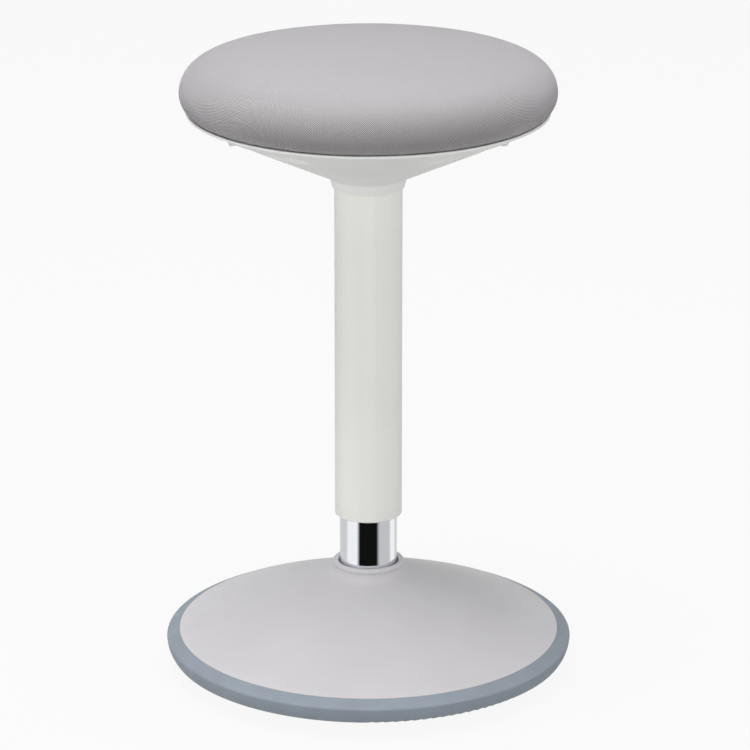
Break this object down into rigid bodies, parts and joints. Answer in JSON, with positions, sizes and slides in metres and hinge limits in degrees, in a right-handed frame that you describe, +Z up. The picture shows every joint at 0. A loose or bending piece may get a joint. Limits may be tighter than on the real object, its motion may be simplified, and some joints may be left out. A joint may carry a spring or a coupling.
{
  "type": "wobble stool",
  "caption": "Height-adjustable wobble stool: round padded seat on a sleeved telescopic column over a domed, weighted rocking base with a rubber ring.",
  "frame": {"origin": "on the floor, on the column's axis, with the seat at its lowest height", "axes": "+Z up along the column, -Y towards the front, +X to the sitter's side where the right paddle is seen from the front"},
  "size_m": [0.3572, 0.3572, 0.565],
  "materials": {
    "base_plastic": "satin moulded plastic, pale warm grey",
    "ring_rubber": "blue-grey moulded rubber",
    "dark_plastic": "fine textured dark grey plastic",
    "tread_rubber": "black rubber",
    "cast_iron": "as cast, painted",
    "zinc_steel": "zinc-plated steel",
    "steel": "machined steel",
    "chrome": "bright chrome plating",
    "guide_plastic": "black acetal",
    "black_paint": "black powder coat",
    "sleeve_plastic": "satin off-white plastic",
    "shell_plastic": "satin off-white plastic",
    "paddle_plastic": "satin off-white plastic",
    "plywood": "birch plywood",
    "foam": "upholstery foam",
    "seat_cloth": "woven warm grey cloth"
  },
  "bodies": {
    "base": {"base_cover": "base_plastic", "bumper_ring": "ring_rubber", "rocker_plate": "dark_plastic", "rocker_pad": "tread_rubber", "base_weight": "cast_iron", "base_screws": "zinc_steel", "weight_screws": "zinc_steel", "column_socket": "steel", "socket_bolts": "zinc_steel", "column_tube": "chrome", "guide_bush": "guide_plastic", "tube_end_plate": "steel", "bearing_lower_washer": "steel"},
    "spindle": {"piston_rod": "chrome", "piston": "steel", "bearing_cage": "guide_plastic", "bearing_upper_washer": "steel", "bump_stop": "tread_rubber", "rod_clip": "steel"},
    "seat": {"gas_cylinder": "black_paint", "cylinder_gland": "guide_plastic", "sleeve_tube": "sleeve_plastic", "sleeve_bush": "guide_plastic", "sleeve_plug": "guide_plastic", "taper_socket": "steel", "seat_bracket": "black_paint", "bracket_bolts": "zinc_steel", "seat_board": "plywood", "tee_nuts": "zinc_steel", "foam_pad": "foam", "seat_cover": "seat_cloth", "staples": "zinc_steel", "under_shell": "shell_plastic", "shell_screws": "zinc_steel", "pivot_pins": "zinc_steel", "pivot_clips": "zinc_steel"},
    "left_release": {"left_paddle": "paddle_plastic"},
    "right_release": {"right_paddle": "paddle_plastic"},
    "valve": {"valve_pin": "steel", "valve_cap": "guide_plastic"}
  },
  "joints": [
    {"name": "swivel", "type": "hinge", "parent": "base", "child": "spindle", "pos_m": [0, 0, 0.04], "axis": [0, 0, 1], "continuous": true},
    {"name": "lift", "type": "slide", "parent": "spindle", "child": "seat", "axis": [0, 0, 1], "range_m": [0, 0.2]},
    {"name": "left_paddle_lift", "type": "hinge", "parent": "seat", "child": "left_release", "pos_m": [-0.045, 0, 0.482], "axis": [0, 1, 0], "range_deg": [0, 4.5], "stiffness_Nm_per_rad": 2},
    {"name": "right_paddle_lift", "type": "hinge", "parent": "seat", "child": "right_release", "pos_m": [0.045, 0, 0.482], "axis": [0, -1, 0], "range_deg": [0, 4.5], "stiffness_Nm_per_rad": 2},
    {"name": "valve_press", "type": "slide", "parent": "seat", "child": "valve", "axis": [0, 0, -1], "range_m": [0, 0.003]}
  ],
  "couplings": [
    {"joint": "right_paddle_lift", "follows": "left_paddle_lift", "ratio": 1},
    {"joint": "valve_press", "follows": "left_paddle_lift", "m_per_rad": 0.0381}
  ]
}
